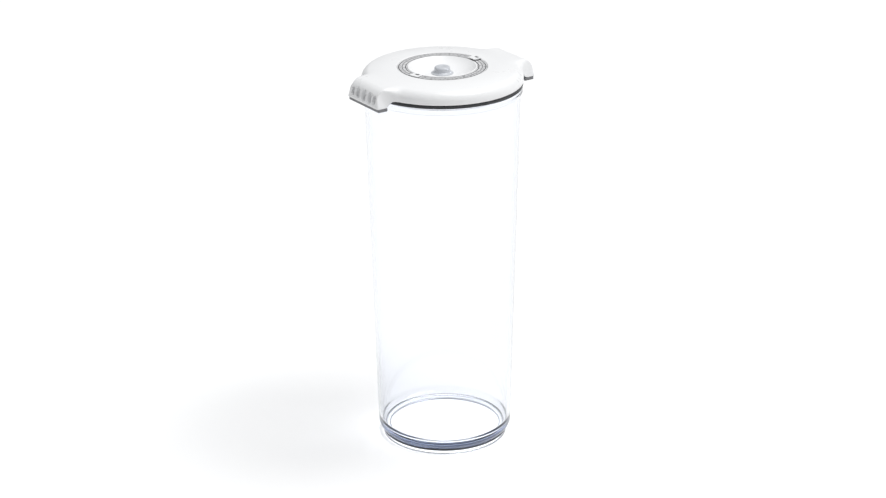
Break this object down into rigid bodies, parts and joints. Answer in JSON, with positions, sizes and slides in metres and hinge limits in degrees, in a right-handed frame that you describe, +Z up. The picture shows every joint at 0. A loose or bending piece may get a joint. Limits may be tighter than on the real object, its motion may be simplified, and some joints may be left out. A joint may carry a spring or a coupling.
{
  "type": "lidded vacuum canister",
  "caption": "Tall clear tapered storage canister with a white domed lid, side ears, date dial with turning pointers and a central release valve.",
  "frame": {"origin": "on the canister's axis, at the table under its foot", "axes": "+Z up along the canister's axis, +X towards one ear of the lid"},
  "size_m": [0.155, 0.133, 0.3276],
  "materials": {
    "clear_glass": "clear polished, faint blue in its thick edges",
    "white_plastic": "satin moulded white",
    "dark_seal": "matte dark silicone",
    "grey_grip": "matte grey grip",
    "grey_print": "light grey moulding with printed numbers",
    "milky_silicone": "translucent milky silicone"
  },
  "bodies": {
    "canister": {"canister_body": "clear_glass", "base_ring": "dark_seal"},
    "lid": {"lid_cover": "white_plastic", "lid_base": "white_plastic", "lid_gasket": "dark_seal", "right_grip_pad": "grey_grip", "left_grip_pad": "grey_grip", "date_scale_ring": "grey_print", "pump_cup": "white_plastic", "cup_seal": "dark_seal"},
    "day_pointer": {"day_pointer": "white_plastic"},
    "month_pointer": {"month_pointer": "white_plastic"},
    "valve": {"valve": "milky_silicone"}
  },
  "joints": [
    {"name": "lid_lift", "type": "slide", "parent": "canister", "child": "lid", "axis": [0, 0, 1], "range_m": [0, 0.12]},
    {"name": "day_pointer_turn", "type": "hinge", "parent": "lid", "child": "day_pointer", "pos_m": [0, 0, 0.326], "axis": [0, 0, 1], "continuous": true},
    {"name": "month_pointer_turn", "type": "hinge", "parent": "lid", "child": "month_pointer", "pos_m": [0, 0, 0.326], "axis": [0, 0, 1], "continuous": true},
    {"name": "valve_lift", "type": "slide", "parent": "lid", "child": "valve", "axis": [0, 0, 1], "range_m": [0, 0.0018]}
  ]
}
